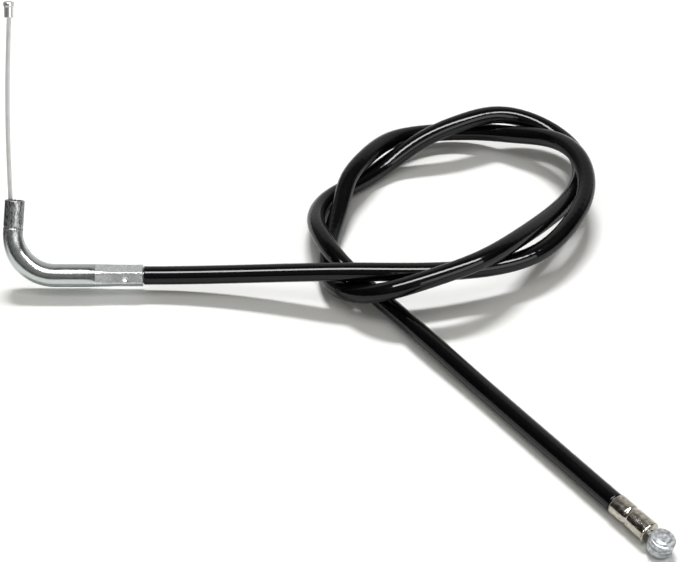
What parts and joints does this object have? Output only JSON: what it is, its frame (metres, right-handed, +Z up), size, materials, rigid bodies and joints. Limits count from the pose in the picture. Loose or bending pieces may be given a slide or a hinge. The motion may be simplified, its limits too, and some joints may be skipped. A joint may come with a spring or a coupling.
{
  "type": "throttle cable",
  "caption": "Throttle cable for a small engine: wire in a black sleeved casing, bent crimped elbow and headed nipple at the carburettor end, ferrule and barrel nipple at the lever end.",
  "frame": {"origin": "on the table under the middle of the box round the two end fittings and the nipples", "axes": "+X from the elbow along the casing's first stretch, +Y away from the picture's camera, +Z up from the table"},
  "size_m": [0.1685, 0.1644, 0.0681],
  "materials": {
    "zinc_plate": "bright zinc plate on steel tube, soft satin on the crimp's facets, darker and scaly on the spigot",
    "black_plastic": "glossy extruded black plastic with faint ripples from the winding under it",
    "spring_steel": "drawn flat steel wire, close-wound",
    "natural_plastic": "smooth natural plastic",
    "wire_rope": "galvanised stranded wire",
    "bright_zinc": "bright polished",
    "nickel_plate": "bright turned nickel plate, warm in tone",
    "cast_zinc": "as-cast zinc, slightly rough"
  },
  "bodies": {
    "casing": {"elbow_tube": "zinc_plate", "casing_jacket": "black_plastic", "casing_winding": "spring_steel", "casing_liner": "natural_plastic", "end_ferrule": "nickel_plate", "inner_wire_in_casing": "wire_rope", "inner_wire_carb_end": "wire_rope"},
    "lever_end": {"barrel_nipple": "cast_zinc", "inner_wire_lever_end": "wire_rope"},
    "carb_end": {"carb_nipple": "bright_zinc"}
  },
  "joints": [
    {"name": "lever_pull", "type": "slide", "parent": "casing", "child": "lever_end", "axis": [0.6, -0.8, 0], "range_m": [0, 0.045]},
    {"name": "carb_retract", "type": "slide", "parent": "casing", "child": "carb_end", "axis": [-0.0218, -0.4923, -0.8701], "range_m": [0, 0.045], "deforming": ["inner_wire_carb_end"]}
  ],
  "couplings": [
    {"joint": "carb_retract", "follows": "lever_pull", "ratio": 1}
  ]
}
